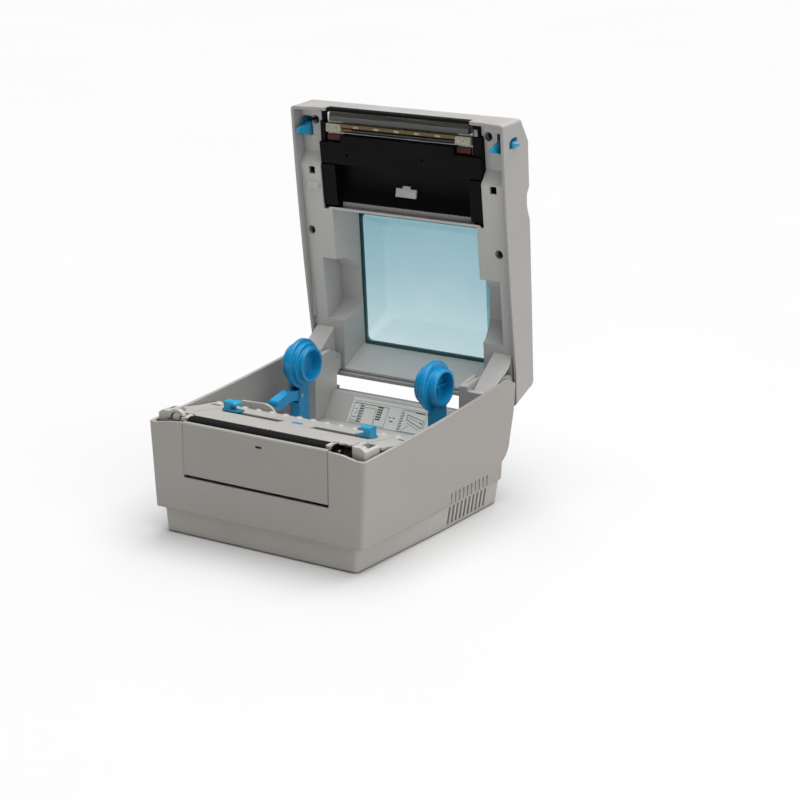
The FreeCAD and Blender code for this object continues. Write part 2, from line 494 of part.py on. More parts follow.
def screw(x, y, z0, head_r, head_h, r, length):
    s = fuse(cz(z0, z0 + head_h, x, y, head_r), cz(z0 + head_h * 0.5, z0 + length, x, y, r))
    return cut(s, box(x - head_r * 0.7, x + head_r * 0.7, y - 0.4, y + 0.4, z0 - 1, z0 + head_h * 0.5),
               box(x - 0.4, x + 0.4, y - head_r * 0.7, y + head_r * 0.7, z0 - 1, z0 + head_h * 0.5))


keep("base_screws", group(*[screw(x, y, 5.4, 3.0, 2.6, 1.5, 26) for x, y in SCREW_AT]))
board = fuse(box(-66, 66, 96, 182, 24, 25.6), box(-45, -4, 180, 195.5, 24, 25.6),
             box(2, 18, 112, 128, 25, 27.2), box(24, 36, 116, 126, 25, 27.0), box(-52, -30, 104, 110, 25, 33.0),
             box(30, 52, 100, 106, 25, 33.0), cz(25, 35, 32, 168, 4.0), cz(25, 35, 43, 168, 4.0),
             box(-30, -18, 130, 142, 25, 27.4), box(-6, 10, 150, 156, 25, 28.0))
board = cut(board, *[cz(20, 30, x, y, 1.5) for x, y in PILLAR_AT])
keep("main_board", board)
bs = []
for x, y in PILLAR_AT:
    bs.append(fuse(cz(25.6, 27.6, x, y, 2.8), cz(17.6, 26.5, x, y, 1.5)))
keep("board_screws", group(*bs))
usb = box(-40, -28, 181, 199.9, 25.6, 36.4)
usb = cut(usb, cut(box(-38.3, -29.7, 190, 201, 26.9, 35.1), box(-36.8, -31.2, 189, 198.8, 29.4, 32.6)))
keep("usb_socket", usb)
inlet = cut(box(-17.5, -8.5, 184, 199.9, 25.6, 36.6), cy(189, 201, -13, 31.0, 3.3))
inlet = fuse(inlet, cy(188, 198.6, -13, 31.0, 1.05))
keep("power_inlet", inlet)
bez = fuse(box(19.2, 42.8, 199.2, 201.0, 29.2, 46.8), box(21.5, 40.5, 184, 199.3, 31.6, 44.3))
bez = cut(bez, box(23.0, 39.0, 187, 203, 32.9, 43.1))
keep("switch_bezel", bez)
RK_X, RK_Y, RK_Z = 31.0, 196.2, 38.0
rk = prz([(RK_X - 7.2, RK_Y - 2.4), (RK_X + 7.2, RK_Y - 2.4), (RK_X + 7.5, RK_Y + 4.4), ('a', (RK_X, RK_Y + 2.9), (RK_X - 7.5, RK_Y + 4.4))], 33.3, 42.7)
rk = fuse(rk, cz(32.95, 43.05, RK_X, RK_Y, 1.6))
rk.rotate(V(RK_X, RK_Y, RK_Z), V(0, 0, 1), -6)
keep("power_rocker", rk)

# ==================================================================== roll holders
hy, hz, hx = HOLD_Y, HOLD_Z, HOLD_X
disc = fuse(cx(hx - 0.5, hx + 4.0, hy, hz, HOLD_R), cx(hx - 4.6, hx, hy, hz, 17.6), cx(hx - 8.6, hx - 4.0, hy, hz, 14.6),
            cx(hx + 3.5, hx + 11.0, hy, hz, 15.2))
disc = soften(disc, lambda e: e.Curve.TypeId == 'Part::GeomCircle', 0.9)
arm = prx([(hy - 6.8, FLOOR_Z + 0.3), (hy + 6.8, FLOOR_Z + 0.3), (hy + 6.8, 92), (hy + 4, hz), (hy - 4, hz), (hy - 6.8, 92)], hx - 0.3, hx + 8.6)
foot = fuse(box(hx + 1.0, hx + 7.6, hy - 2.5, hy + 2.5, 41.6, FLOOR_Z + 1), box(hx, hx + 8.4, hy - 11.2, hy + 2.5, 41.5, 43.9))
holder = fuse(disc, arm, foot)
holder = cut(holder, kx(hx - 8.7, hx - 1.5, hy, hz, 12.2, 10.6), cx(hx + 2.2, hx + 12, hy, hz, 12.4))
ribs = [box(hx + 2.0, hx + 5.0, hy - 0.7, hy + 0.7, hz - 12.6, hz + 12.6), box(hx + 2.0, hx + 5.0, hy - 12.6, hy + 12.6, hz - 0.7, hz + 0.7)]
holder = fuse(holder, *ribs)
right_holder = fuse(cut(holder, box(hx - 1, hx + 9, hy - 12, hy - 2.4, 41, 44.2)),
                    box(hx, hx + 8.4, hy - 2.5, hy + 11.2, 41.5, 43.9))
# the left arm carries the finger lever in a slot
LEV_Y, LEV_Z = 149.2, 78.5
left = mx(holder)
left = cut(left, box(-hx - 6.7, -hx - 1.6, 140, 154.5, 72.6, 86.4), cx(-hx - 9, -hx + 1, LEV_Y, LEV_Z, 1.5))
keep("left_roll_holder", biggest(left))
keep("right_roll_holder", biggest(right_holder))
keep("lever_pin", cx(-hx - 8.6, -hx + 0.3, LEV_Y, LEV_Z, 1.5))
lev = fuse(prx([(144.6, 83.6), (133, 85.2), (118.5, 82.0), ('a', (114.8, 79.6), (116.2, 75.6)), (120, 72.6), (128, 75.4), (136, 76.6), (143.6, 75.0)],
               -hx - 8.4, -hx + 0.1),
           prx([(143.5, 83.2), (147.5, 83.0), ('a', (152.6, 79.6), (150.5, 74.4)), (147, 73.6), (143.5, 75.4)], -hx - 6.4, -hx - 1.9))
lev = cut(lev, cx(-hx - 10, -hx + 2, LEV_Y, LEV_Z, 1.5 + RUN))
keep("holder_lock_lever", lev)
pr = RACK_M * RACK_N / 2
lrack = rack(RACK_M, -hx - 8.4, 8.0, range(-15, 3), hy - pr, +1, 4.0, 36.5, 41.5)
keep("left_holder_rack", lrack)
lr = lrack.copy()
lr.rotate(V(0, hy, 0), V(0, 0, 1), 180)
keep("right_holder_rack", lr)
hp_gear = gear_z(RACK_M, RACK_N, 0, hy, -math.pi / 2 + math.pi / RACK_N, 36.8, 41.2)
keep("holder_pinion", cut(hp_gear, cz(30, 50, 0, hy, 2.0 + RUN)))

# ==================================================================== paper guides
gx0, gx1 = 55.7, 69.2
gf = 71.6
gb = lambda y: n1[1] + 0.35 - (y - GUIDE_Y) * 0.16
guide = fuse(
    prx([(51.8, gb(51.8)), (62.4, gb(62.4)), (62.4, gb(62.4) + 1.7), (51.8, gb(51.8) + 1.7)], gx0, gx1),
    prx([(52.6, gb(52.6)), (61.6, gb(61.6)), (61.6, 95.6), (59.5, 96.4), (53.6, 96.4), (52.6, 95.2)], gx1 - 6.6, gx1 - 0.8),
    prx([(52.6, 93.6), (61.6, 92.6), (61.6, 95.6), (59.5, 96.4), (53.6, 96.4), (52.6, 95.2)], gx0 + 1.5, gx1 - 2.4))
guide = cut(guide, pry([(gx0 + 1.2, 96.6), (gx0 + 4.6, 96.6), (gx0 + 1.2, 94.4)], 50, 65))
gfoot = fuse(box(gf - 12.6, gf - 6.6, GUIDE_Y - 1.4, GUIDE_Y + 1.4, 80.6, gb(57) + 1.0),
             box(gf - 13, gf - 6, GUIDE_Y - 8.8, GUIDE_Y + 1.4, 80.5, 82.3))
rguide0 = fuse(guide, gfoot)
lguide = mx(rguide0)
gfoot_r = fuse(box(gf - 12.6, gf - 6.6, GUIDE_Y - 1.4, GUIDE_Y + 1.4, 80.6, gb(57) + 1.0),
               box(gf - 13, gf - 6, GUIDE_Y - 1.4, GUIDE_Y + 8.8, 80.5, 82.3))
keep("left_paper_guide", lguide)
keep("right_paper_guide", fuse(guide, gfoot_r))
gr = GUIDE_M * GUIDE_N / 2
grack = rack(GUIDE_M, -gf + 6, 7.0, range(-19, 3), GUIDE_Y - gr, +1, 3.0, 77.5, 80.5)
keep("left_guide_rack", grack)
g2 = grack.copy()
g2.rotate(V(0, GUIDE_Y, 0), V(0, 0, 1), 180)
keep("right_guide_rack", g2)
gp = gear_z(GUIDE_M, GUIDE_N, 0, GUIDE_Y, -math.pi / 2 + math.pi / GUIDE_N, 77.7, 80.3)
gp = fuse(gp, cz(76.6, 82.2, 0, GUIDE_Y, 3.0))
keep("guide_pinion", cut(gp, cz(70, 90, 0, GUIDE_Y, 1.6 + RUN)))

# ==================================================================== lid (drawn closed, then swung open)
top = [(230.0, 103.3), (221.9, 126.4), ('a', (220.2, 130.9), (216.6, 132.9)), (148.8, 132.4), (81.5, 131.1),
       (76.2, 128.9), (69.2, 126.9), (60.3, 127.1), (55.0, 130.8), (17.6, 130.0), (-1.4, 118.7)]
lid_prof = [(-1.4, 89.5), ('a', (100, 94.5), (204.0, 103.9))] + top
lid_out = prx(lid_prof, -LID_HALF_W, LID_HALF_W).common(rrprism(-LID_HALF_W, LID_HALF_W, -1.4, 260, 3, 60, 200))
lid_out = soften(lid_out, lambda e: abs(abs(e.CenterOfMass.x) - LID_HALF_W) < 0.02 and e.CenterOfMass.z > 112
                 and e.BoundBox.XLength < 0.01 and e.CenterOfMass.y > 8, 2.2)
cav = [(1.1, 60), (1.1, 117.2), (18.4, 127.5), (54.0, 128.3), (59.3, 124.6), (70.0, 124.4), (77.0, 126.4), (82.2, 128.6),
       (148.8, 129.9), (215.6, 130.3), ('a', (217.9, 129.1), (219.5, 125.5)), (227.3, 103.2), (227.3, 60)]
lid_in = prx(cav, -97, 97).common(rrprism(-97, 97, 1.1, 260, 1.0, 50, 200))
lshell = lid_out.cut(lid_in)
lshell = cut(lshell, rrprism(-61.6, 61.6, 94, 205, 5, 120, 140),
             *both(prx([(19.1, 99.2), (19.1, 111.0), (11.2, 111.0), (11.2, 105.0), ('a', (12.9, 100.9), (17.0, 99.2))], 95, 101)),
             box(-68.4, 66.9, -5, 1.6, 80, 100.5),
             cz(120, 140, 0, 36, 6.15), cz(120, 140, 15, 36, 1.8),
             pry([(-92.4, 80), (-92.4, 89.7), (-80, 92.0), (-67.8, 93.0), (-67.2, 94.0), (67.2, 94.0), (67.8, 93.0),
                  (80, 92.0), (92.4, 89.7), (92.4, 80)], -5, 3.4))
keep("lid_shell", biggest(lshell), lid=True)

# --- inner frame: rails, tapered well around the window, disc pockets, hinge lugs
RB = 188.6
T = 2.4


def rail_band(x0, x1, y0, y1):
    lo, hi = [], []
    for y in sorted({y0, y1} | {k for k in (38.0, 48.0) if y0 < k < y1}):
        dz = 8.6 if y <= 38 else (8.6 * (48 - y) / 10 if y < 48 else 0.0)
        lo.append((y, rail(y) + dz))
        hi.append((y, rail(y) + dz + T))
    return prx(lo + hi[::-1], x0, x1)


rails = fuse(rail_band(BRK_R + 0.5, 97, 1.1, 41), rail_band(BRK_R + 0.5, 97, 40, 85), rail_band(69, 97, 84, RB),
             rail_band(73.3, 78, 1.1, 11.2))
rails_l = mx(fuse(rail_band(-BRK_L + 0.5, 97, 1.1, 41), rail_band(-BRK_L + 0.5, 97, 40, 85), rail_band(69, 97, 84, RB)))
well_in = loft(rrect(-72.86, 72.86, 81.9, 235, 1.5, 90), rrect(-61.8, 61.8, 92.3, 207, 1.5, 128.6))
well_out = loft(rrect(-75.06, 75.06, 79.7, 237.2, 2, 90), rrect(-64.0, 64.0, 90.1, 209.2, 2, 128.6))
clip = prx([(74, rail(74)), (RB, rail(RB)), (200, 105.8), (226.4, 105.4), (219.2, 124.8), (213, 128.3), (85, 126.9), (74, 126.4)], -90, 90)
ring = well_out.cut(well_in).common(clip)
lug = prx([(RB, rail(RB)), (210.6, 72.6), (213.9, 73.9), (215.4, 84.4), ('a', (220.0, 87.2), (222.3, 91.9)), (223.4, 104.5), (220, 112), (RB, rail(RB) + T)], 77.6, 95.4)
# each lug is a slanted plate with an inner cheek and a hub, open towards its outer side
lug_gap = prx([(193.6, 104.0), (212.9, 74.8), (232, 74.8), (232, 104.0)], 80.2, 96.5).cut(cx(70, 100, HINGE_Y, HINGE_Z, 6.2))
lug = cut(lug, lug_gap)
# webs that close the rail between the well and each lug
fill = prx([(186, rail(186)), (RB, rail(RB)), (200, 105.8), (207, 105.7), (207, 108.1), (200, 108.2), (186, rail(186) + T)], 69.4, 77.8)
frame = fuse(rails, rails_l, ring, lug, mx(lug), fill, mx(fill))
py, pz, pr_ = POCKET
pclip = prx([(100, rail(100)), (RB, rail(RB)), (RB, 127.9), (100, 126.9)], 60, 90)
frame = frame.cut([cx(60, POCKET_XR, py, pz, pr_), cx(-83, -60, py, pz, pr_)])
cup = cut(cx(61, 85, py, pz, pr_ + 2), cx(60, 83, py, pz, pr_)).common(pclip)
cup_r = cut(cx(61, POCKET_XR + 2, py, pz, pr_ + 2), cx(60, POCKET_XR, py, pz, pr_)).common(pclip)
roofp = prx([(126, 126.2), (183, 126.8), (183, 127.8), (126, 127.2)], 61, 85)
cup = fuse(cup, roofp).cut(well_in)
roofr = prx([(126, 126.2), (183, 126.8), (183, 127.8), (126, 127.2)], 61, POCKET_XR + 2)
cup_r = fuse(cup_r, roofr).cut(well_in)
frame = fuse(frame, cup_r, mx(cup))
frame = frame.cut(well_in.common(clip).common(box(-62, 62, 70, 240, 80, 140)))
# screw towers in the rails
# place, rail height, hole radius, tower radius, depth of the hole
LS = [(87.9, 104.4, rail(104.4), 3.6, 4.4, 8.2), (-91.8, 104.0, rail(104.0), 3.6, 4.4, 8.2),
      (79.4, 10.9, rail(10.9) + 8.6, 3.6, 4.4, 8.2), (-83.9, 10.9, rail(10.9) + 8.6, 3.6, 4.4, 8.2)]
tower = [cz(k[2] + 0.2, 126.8, k[0], k[1], k[4]) for k in LS]
frame = fuse(frame, *tower)
rib = prx([(61.5, rail(61.5) + 0.5), (67.5, rail(67.5) + 0.5), (67.2, rail(67.2) - 1.6), (64.0, rail(64.0) - 2.7)], -91.0, -79.5)
frame = fuse(frame, rib, *both(box(95.4, 97, 120, 180, 103, 112))).common(lid_in)
holes = []
for x, y, z, rh, rt, dp in LS:
    holes += [cz(80, z + dp, x, y, rh), cz(80, 122, x, y, 1.3)]
for s in (-1, 1):
    holes += [box(s * 86 - 3, s * 86 + 3, 49, 55, 85, 101),
              cx(min(s * 76, s * 97), max(s * 76, s * 97), HINGE_Y, HINGE_Z, PIN_R + RUN)]
# windows for the latches in the pocket floors
    holes.append(box(min(s * 87.4, s * 97.5), max(s * 87.4, s * 97.5), 8.2, 24.4, 95, 112))
frame = cut(frame, *holes)
frame = biggest(frame)
keep("lid_frame", frame, lid=True)
lsc = []
for x, y, z, rh, rt, dp in LS:
    lsc.append(screw(x, y, z + dp - 2.4, 3.2, 2.4, 1.3, 12))
keep("lid_screws", group(*lsc), lid=True)

# --- domed window: flange under the lid's top, dome through its opening
fl = prx([(87.6, 127.0), (211, 128.35), (211, 129.9), (148.8, 129.55), (87.6, 128.45)], -66, 66)
dome_o = loft(rrect(-61.2, 61.2, 94.4, 204.6, 5, 126.5), rrect(-58.0, 58.0, 106.0, 191.0, 9, WIN_TOP))
dome_i = loft(rrect(-60.0, 60.0, 92.0, 206.9, 3.5, 120.0), rrect(-55.9, 55.9, 108.2, 188.8, 7, WIN_TOP - 2.2))
dome_o = soften(dome_o, lambda e: abs(e.CenterOfMass.z - WIN_TOP) < 0.01, 2.0)
win = fuse(fl, dome_o.common(box(-70, 70, 80, 220, 128.0, 170)))
win = cut(win, dome_i)
keep("lid_window", biggest(win), lid=True)

# --- print-head bracket (black): block with head pocket, hollow rear half, end legs, serrated lip
blk = prx([(1.3, rail(1.3) + 2.6), (3.4, rail(3.4) + 1.2), (45, rail(45) + 1.4), (46.5, rail(46.5) + 6), (47.5, 106.5), (47.5, 121), (20, 121), (1.3, 113.5)],
          BRK_L, BRK_R)
bar = fuse(prx([(-1.2, 94.9), (-1.2, 100.2), (1.25, 100.2), (1.25, 95.1)], -68.0, 66.5),
           box(-68.0, -66.9, -1.2, 2.4, 95.1, 100.2), box(65.5, 66.5, -1.2, 2.4, 95.1, 100.2))
roof = prx([(46, 106.5), ('a', (58, 107.5), (70, 104.6)), (76.0, 102.2), (77.5, 101.5), (77.5, 103.7), (72, 107.0),
            ('a', (58, 110.2), (46, 109.2))], BRK_L, BRK_R)
leg_prof = [(46, rail(46) + 1.0), (80.4, rail(80.4) + 1.0), (80.4, 104.0), (72, 110), (46, 112)]
brk = fuse(blk, roof, prx(leg_prof, 63.5, BRK_R), prx(leg_prof, BRK_L, -63.5))
bcut = [box(-72.3, 67.2, 2.4, 20.8, 80, 112.2), box(-66.9, 65.5, 0, 2.6, 80, 112.2), box(51.3, 67.2, 20, 27.0, 80, 112.2), box(-72.3, -56.5, 20, 27.0, 80, 112.2)]
# front lip keeps a thin black bar ahead of the head
bcut += [box(-40, 40, 22.5, 44.0, 112, 130), box(-75, -42, 29, 44.0, 112, 130), box(42, 75, 29, 44.0, 112, 130)]
for i in range(42):
    x = -62 + 3.0 * i
    bcut.append(box(x - 0.6, x + 0.6, 76.3, 80.3, 98, 106))
# notch beside the right-hand screw
bcut += [box(72.8, 80, 0, 11.5, 85, 130), cz(100.9, 130, 79.4, 10.9, 4.9)]
# end relief over the keepers and the platen gear
bcut += [box(65.5, 83, 2.4, 27.4, 85, 98.4), box(-83, -66.9, 2.4, 27.4, 85, 98.4), box(-83, -66.9, 2.4, 10.6, 85, 101.0),
         box(69.5, 83, 0, 2.6, 85, 97.0), box(-83, -69.5, 0, 2.6, 85, 97.0)]
bcut += [box(-72.2, -70.8, 30, 31.4, 90, 99), box(-52, -50, 36, 38, 90, 99), box(20, 22, 33, 35, 90, 99)]
brk = fuse(cut(brk, *bcut), bar)
for s in (-1, 1):
    brk = brk.cut(cz(110, 123, s * 61.5 + HEAD_DX, 14.5, 2.1))
keep("printhead_bracket", biggest(brk), lid=True)
roof_cut = prx([(46, 106.5), ('a', (58, 107.5), (70, 104.6)), (76.0, 102.2), (78.7, 101.0), (78.7, 113), (46, 113)], -70, 70)
cov = fuse(prx([(61.6, 105.3), (68.4, 103.6), (68.4, 110), (61.6, 110)], -10.0, 9.2), prx([(59.4, 105.8), (61.7, 105.3), (61.7, 110), (59.4, 110)], -3.8, 3.0)).cut(roof_cut)
keep("sensor_cover", biggest(cov), lid=True)

# --- print head: heat sink, ceramic bar, driver strip, clips, pads, guide pins, springs
def head(shape):
    h = shape.copy()
    h.translate(V(HEAD_DX, 0, 0))
    return h


hs = fuse(box(-68.8, 68.8, 2.9, 20.2, 101.2, 104.6), box(-68.8, -54.6, 20, 26.4, 101.2, 104.6), box(54.6, 68.8, 20, 26.4, 101.2, 104.6))
hs = cut(hs, cz(100, 106, 61.5, 14.5, 2.0), cz(100, 106, -61.5, 14.5, 2.0))
keep("printhead_heatsink", head(hs), lid=True)
keep("printhead_ceramic", prx([(1.55, 98.2), (5.4, 95.8), (9.3, 96.0), (9.8, 97.0), (9.8, 101.2), (1.55, 101.2)], -66.4, 65.0), lid=True)
keep("driver_strip", head(prx([(11.2, 98.6), (11.9, 97.7), (14.7, 97.7), (15.3, 98.6), (15.3, 101.2), (11.2, 101.2)], -53.6, 53.6)), lid=True)
clip1 = prx([(12.0, 97.6), (18.0, 96.9), (19.4, 98.4), (19.4, 101.2), (12.0, 101.2)], 54.2, 68.2)
keep("head_clips", group(head(clip1), head(mx(clip1))), lid=True)
pad1 = prx([(21.0, 98.4), (25.6, 98.4), (26.0, 99.0), (26.0, 101.2), (21.0, 101.2)], 55.0, 67.6)
keep("head_pads", group(head(pad1), head(mx(pad1))), lid=True)
gpin = fuse(cz(101.2, 117.0, 61.5, 14.5, 2.0))
keep("head_guide_pins", group(head(gpin), head(mx(gpin))), lid=True)
sp = coil(38.0, 11.0, 106.2, 112.2, 2.8, 0.8, 5)
keep("head_springs", group(sp, mx(sp)), lid=True)

# --- lid latches: hook inside, finger tab outside, return springs behind
HK_X0, HK_X1 = 88.6, 93.2
hook = fuse(loft(rrect(HK_X0, HK_X1, 14.6, 22.6, 0.6, 97.0), rrect(90.0, 91.8, 16.4, 19.4, 0.3, 85.0)),
            loft(rrect(HK_X0, HK_X1, 14.6, 22.6, 0.6, 97.0), rrect(HK_X0, HK_X1, 13.0, 24.1, 0.6, 100.4)),
            rrprism(HK_X0, HK_X1, 13.0, 24.1, 0.6, 100.4, 105.2))
# thin shutter that closes the side window behind the tab
shutter = prx([(10.9, 98.6), (22.0, 98.6), (22.4, 104.4), (22.4, 112.2), (6.6, 112.2), (6.6, 104.4), (10.9, 104.4)], 95.2, 96.7)
barr = prx([(14.0, 104.9), (14.9, 103.7), (18.8, 103.7), (18.8, 110.5), (14.9, 110.5), (14.0, 109.3)], HK_X0, 99.9)
tabx = loft(_wire([(14.0, 104.9), (14.9, 103.7), (18.8, 103.7), (18.8, 110.5), (14.9, 110.5), (14.0, 109.3)], lambda p: V(99.8, p[0], p[1])),
            _wire([(15.6, 106.2), (15.9, 105.9), (17.6, 105.9), (17.6, 108.3), (15.9, 108.3), (15.6, 108.0)], lambda p: V(LID_HALF_W + 4.2, p[0], p[1])))
latch = fuse(hook, barr, tabx, shutter)
keep("right_latch", latch, lid=True)
keep("left_latch", mx(latch), lid=True)
ls_ = coil(0, 0, 0, 6.0, 1.7, 0.6, 6)
ls_.rotate(V(0, 0, 0), V(1, 0, 0), -90)
ls_.translate(V(90.9, 18.9, 107.6))
keep("latch_springs", group(ls_, mx(ls_)), lid=True)

# --- feed button and status lens on the lid's outside
btn = fuse(cz(126.4, 131.6, 0, 36, 6.0), cz(124.6, 127.0, 0, 36, 7.4))
btn = soften(btn, lambda e: abs(e.CenterOfMass.z - 131.6) < 0.01, 0.8)
keep("feed_button", btn, lid=True)
keep("status_lens", soften(cz(124.5, 130.7, 15, 36, 1.8), lambda e: abs(e.CenterOfMass.z - 130.7) < 0.01, 0.4), lid=True)

# ==================================================================== export
allb = FreeCAD.BoundBox()
for name in nodes:
    s = nodes[name]
    allb.add(s.BoundBox)
    ok = s.isValid()
    print("%-22s solids %d  vol %9.1f  %s  %s" % (name, len(s.Solids), s.Volume, "ok" if ok else "INVALID",
          " ".join("%.1f" % k for k in (s.BoundBox.XMin, s.BoundBox.XMax, s.BoundBox.YMin, s.BoundBox.YMax, s.BoundBox.ZMin, s.BoundBox.ZMax))))
    s.exportStep("parts/%s.step" % name)
print("nodes", len(nodes), "box", allb)
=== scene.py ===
import json
import math
import random

import bmesh
import bpy
from mathutils import Matrix, Vector


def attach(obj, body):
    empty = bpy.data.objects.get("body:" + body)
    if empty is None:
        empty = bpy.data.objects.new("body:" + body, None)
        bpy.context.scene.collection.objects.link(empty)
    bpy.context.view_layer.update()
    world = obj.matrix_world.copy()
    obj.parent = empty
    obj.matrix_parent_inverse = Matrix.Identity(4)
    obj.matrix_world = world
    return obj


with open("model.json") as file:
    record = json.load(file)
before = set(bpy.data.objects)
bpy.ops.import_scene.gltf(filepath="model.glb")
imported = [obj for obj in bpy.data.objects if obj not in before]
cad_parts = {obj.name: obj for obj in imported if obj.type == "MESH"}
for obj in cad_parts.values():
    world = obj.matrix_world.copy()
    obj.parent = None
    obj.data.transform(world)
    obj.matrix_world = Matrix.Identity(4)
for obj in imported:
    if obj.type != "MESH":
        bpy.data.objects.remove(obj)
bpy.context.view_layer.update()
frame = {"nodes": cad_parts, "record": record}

N = frame["nodes"]
scene = bpy.context.scene
SHIFT = -0.1346            # the CAD layout's y = 0 (front of the base) in the row frame
random.seed(7)


# ---------------------------------------------------------------- camera
az, el = math.radians(32.75), math.radians(16.21)
back = Vector((math.sin(az) * math.cos(el), -math.cos(az) * math.cos(el), math.sin(el)))
right = Vector((math.cos(az), math.sin(az), 0.0))
up = back.cross(right)
cam_data = bpy.data.cameras.new("camera")
cam_data.lens = 95.13
cam_data.sensor_fit = 'HORIZONTAL'
cam_data.sensor_width = 36.0
cam_data.clip_start, cam_data.clip_end = 0.05, 50.0
cam = bpy.data.objects.new("camera", cam_data)
scene.collection.objects.link(cam)
cam.matrix_world = Matrix(((right.x, up.x, back.x, 0.9041),
                           (right.y, up.y, back.y, -1.2049 + SHIFT),
                           (right.z, up.z, back.z, 0.5574),
                           (0, 0, 0, 1)))
scene.camera = cam
scene.view_settings.view_transform = 'Standard'


# ---------------------------------------------------------------- materials
def srgb(r, g, b):
    f = lambda c: c / 12.92 if c <= 0.04045 else ((c + 0.055) / 1.055) ** 2.4
    return tuple(f(c / 255.0) for c in (r, g, b))


class Mat:
    def __init__(self, name):
        self.m = bpy.data.materials.new(name)
        self.m.use_nodes = True
        self.t = self.m.node_tree
        self.t.nodes.clear()
        self.out = self.add("ShaderNodeOutputMaterial")
        self.b = self.add("ShaderNodeBsdfPrincipled")
        self.t.links.new(self.b.outputs["BSDF"], self.out.inputs["Surface"])
        self.co = self.add("ShaderNodeTexCoord").outputs["Object"]
        self.soft = None

    def edge(self, radius):
        """Normals that run round the moulded edges, as a tool radius does."""
        n = self.add("ShaderNodeBevel", samples=6)
        n.inputs["Radius"].default_value = radius
        self.soft = n.outputs["Normal"]

    def add(self, kind, **kw):
        n = self.t.nodes.new(kind)
        for k, v in kw.items():
            setattr(n, k, v)
        return n

    def link(self, a, b):
        self.t.links.new(a, b)

    def stretch(self, s):
        n = self.add("ShaderNodeMapping")
        n.inputs["Scale"].default_value = s
        self.link(self.co, n.inputs["Vector"])
        return n.outputs["Vector"]

    def noise(self, scale, detail=3.0, rough=0.55, vec=None, w=None):
        n = self.add("ShaderNodeTexNoise")
        n.inputs["Scale"].default_value = scale
        n.inputs["Detail"].default_value = detail
        n.inputs["Roughness"].default_value = rough
        self.link(vec or self.co, n.inputs["Vector"])
        return n.outputs["Fac"]

    def voronoi(self, scale, feature='F1', vec=None):
        n = self.add("ShaderNodeTexVoronoi", feature=feature)
        n.inputs["Scale"].default_value = scale
        self.link(vec or self.co, n.inputs["Vector"])
        return n.outputs["Distance"]

    def ramp(self, fac, stops):
        n = self.add("ShaderNodeValToRGB")
        e = n.color_ramp.elements
        while len(e) < len(stops):
            e.new(0.5)
        for i, (p, c) in enumerate(stops):
            e[i].position = p
            e[i].color = (*c, 1.0) if len(c) == 3 else c
        self.link(fac, n.inputs["Fac"])
        return n.outputs["Color"]

    def span(self, fac, a, b, lo, hi):
        n = self.add("ShaderNodeMapRange")
        n.inputs["From Min"].default_value = a
        n.inputs["From Max"].default_value = b
        n.inputs["To Min"].default_value = lo
        n.inputs["To Max"].default_value = hi
        self.link(fac, n.inputs["Value"])
        return n.outputs["Result"]

    def mix(self, fac, a, b, mode='MIX'):
        n = self.add("ShaderNodeMix", data_type='RGBA', blend_type=mode)
        for v, s in ((fac, n.inputs["Factor"]), (a, n.inputs[6]), (b, n.inputs[7])):
            if isinstance(v, (int, float)):
                s.default_value = v
            elif isinstance(v, tuple):
                s.default_value = (*v, 1.0)
            else:
                self.link(v, s)
        return n.outputs[2]

    def math(self, op, a, b):
        n = self.add("ShaderNodeMath", operation=op)
        for v, s in ((a, n.inputs[0]), (b, n.inputs[1])):
            if isinstance(v, (int, float)):
                s.default_value = v
            else:
                self.link(v, s)
        return n.outputs[0]

    def bump(self, height, dist, strength=1.0, under=None):
        n = self.add("ShaderNodeBump")
        n.inputs["Strength"].default_value = strength
        n.inputs["Distance"].default_value = dist
        self.link(height, n.inputs["Height"])
        if under is None:
            under = self.soft
        if under is not None:
            self.link(under, n.inputs["Normal"])
        return n.outputs["Normal"]

    def set(self, **kw):
        for k, v in kw.items():
            s = self.b.inputs[k.replace("_", " ")]
            if hasattr(v, "is_linked") or hasattr(v, "links"):
                self.link(v, s)
            elif isinstance(v, tuple) and len(v) == 3:
                s.default_value = (*v, 1.0)
            else:
                s.default_value = v


def tint(c, k):
    return tuple(min(1.0, max(0.0, x * k)) for x in c)


def moulded(name, col, rough=0.46, var=0.035, grain=1500.0, grain_h=0.00005, coat=0.0, crevice_shade=0.0, spec=0.5, edge=0.0005):
    """Injection-moulded plastic: faint flow mottling, spark-eroded grain, uneven gloss, painted shade darkening the
    corners.
    """
    m = Mat(name)
    m.edge(edge)
    flow = m.noise(14.0, 4.0, 0.6, m.stretch((1.0, 0.55, 0.8)))
    base = m.ramp(flow, [(0.3, tint(col, 1 - var)), (0.7, tint(col, 1 + var))])
    speck = m.noise(420.0, 2.0, 0.5)
    base = m.mix(m.span(speck, 0.45, 0.75, 0.0, 0.35), base, tint(col, 0.93))
    # painted shade: where ambient occlusion finds a corner or crevice, the colour is mixed darker and browner
    if crevice_shade > 0:
        ao = m.add("ShaderNodeAmbientOcclusion", samples=6)
        ao.inputs["Distance"].default_value = 0.006
        base = m.mix(m.span(ao.outputs["AO"], 0.25, 0.9, crevice_shade, 0.0), base, tint((col[0], col[1] * 0.96, col[2] * 0.9), 0.45))
    m.set(Base_Color=base)
    patch = m.noise(38.0, 3.0, 0.6)
    m.set(Roughness=m.span(patch, 0.3, 0.7, rough - 0.07, rough + 0.08))
    fine = m.noise(grain, 2.0, 0.6)
    cells = m.voronoi(grain * 0.75)
    nrm = m.bump(fine, grain_h, 0.55)
    nrm = m.bump(cells, grain_h * 0.6, 0.35, nrm)
    wave = m.noise(22.0, 1.0, 0.4)
    m.set(Normal=m.bump(wave, 0.00016, 0.25, nrm))
    m.set(IOR=1.52, Coat_Weight=coat, Coat_Roughness=0.3, Specular_IOR_Level=spec)
    return m.m


